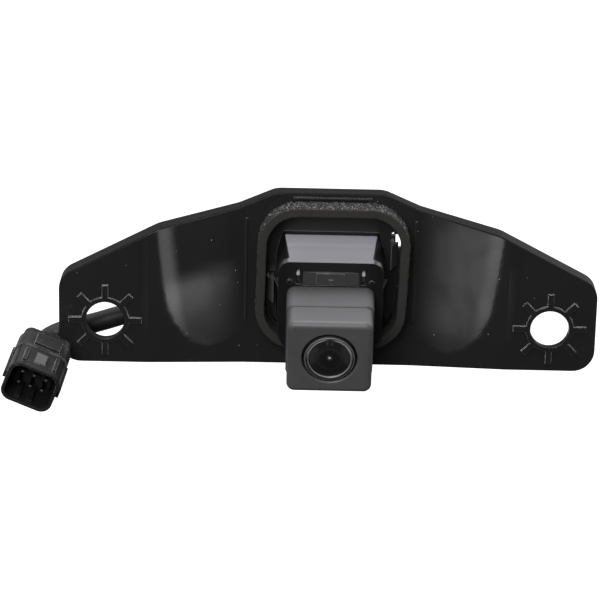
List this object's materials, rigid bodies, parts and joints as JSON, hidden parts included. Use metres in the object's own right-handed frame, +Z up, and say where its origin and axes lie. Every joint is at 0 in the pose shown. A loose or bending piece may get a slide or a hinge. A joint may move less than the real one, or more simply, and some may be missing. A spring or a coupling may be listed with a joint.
{
  "type": "backup camera",
  "caption": "Rear-view camera clipped into a winged plastic mounting bracket with a foam gasket, sealed two-part housing and a short cable ending in a multi-pin plug.",
  "frame": {"origin": "midway between the two mounting-hole centres, on the front face of the bracket's wings", "axes": "+X to the right seen from the side the camera looks to, +Y to the rear of the bracket (away from the viewer), +Z up; the camera looks to -Y and slightly down"},
  "size_m": [0.1742, 0.0511, 0.0585],
  "materials": {
    "bracket_plastic": "smooth black moulding",
    "foam": "open-cell foam",
    "tape": "thin double-sided tape",
    "holder_plastic": "fine satin black",
    "housing_plastic": "fine-textured dark grey",
    "seal_rubber": "silicone",
    "black_rubber": "matte",
    "steel": "zinc-plated",
    "ring_metal": "black anodised",
    "lens_glass": "coated glass",
    "filter_glass": "coated glass",
    "fr4": "solder mask",
    "chip": "moulded package",
    "ceramic_chip": "ceramic chip parts",
    "nylon": "natural nylon",
    "wire_pvc": "pvc insulation",
    "cable_pvc": "matte jacket",
    "core_filler": "foil wrap",
    "connector_plastic": "glass-filled nylon",
    "tin_pin": "tin-plated",
    "lock_plastic": "black nylon"
  },
  "bodies": {
    "camera_unit": {"mounting_bracket": "bracket_plastic", "foam_gasket": "foam", "gasket_tape": "tape", "camera_holder": "holder_plastic", "front_housing": "housing_plastic", "rear_housing": "housing_plastic", "housing_seal": "seal_rubber", "housing_screws": "steel", "lens_retaining_ring": "ring_metal", "lens_barrel": "ring_metal", "front_lens": "lens_glass", "lens_o_ring": "black_rubber", "inner_lens_elements": "lens_glass", "lens_spacers": "ring_metal", "lens_mount": "chip", "ir_filter": "filter_glass", "sensor_board": "fr4", "image_sensor": "chip", "lens_mount_screws": "steel", "processor_board": "fr4", "board_connector": "nylon", "video_processor": "chip", "board_passives": "ceramic_chip", "wire_header": "nylon", "cable_grommet": "black_rubber", "cable_jacket": "cable_pvc", "cable_core": "core_filler", "camera_wires": "wire_pvc"},
    "left_hook": {"left_snap_hook": "holder_plastic"},
    "right_hook": {"right_snap_hook": "holder_plastic"},
    "tongue": {"release_tongue": "holder_plastic"},
    "pigtail": {"cable_tail_jacket": "cable_pvc", "cable_tail_core": "core_filler", "connector_shell": "connector_plastic", "terminal_pins": "tin_pin", "wire_seal": "seal_rubber", "connector_rear_cap": "connector_plastic", "connector_wires": "wire_pvc"},
    "connector_lock": {"secondary_lock": "lock_plastic"}
  },
  "joints": [
    {"name": "left_hook_flex", "type": "hinge", "parent": "camera_unit", "child": "left_hook", "pos_m": [-0.01675, 0.0058, 0.0111], "axis": [0, 0, 1], "range_deg": [0, 4]},
    {"name": "right_hook_flex", "type": "hinge", "parent": "camera_unit", "child": "right_hook", "pos_m": [0.01865, 0.0058, 0.0221], "axis": [0, 0, -1], "range_deg": [0, 4]},
    {"name": "release_tongue_press", "type": "hinge", "parent": "camera_unit", "child": "tongue", "pos_m": [0.0005, -0.01674, 0.02214], "axis": [1, 0, 0], "range_deg": [0, 8]},
    {"name": "pigtail_swing", "type": "hinge", "parent": "camera_unit", "child": "pigtail", "pos_m": [-0.055, 0.01327, -0.00063], "axis": [0, 0, -1], "range_deg": [0, 32]},
    {"name": "secondary_lock_slide", "type": "slide", "parent": "pigtail", "child": "connector_lock", "axis": [-0.06, -0.9932, -0.1], "range_m": [0, 0.0018]}
  ]
}
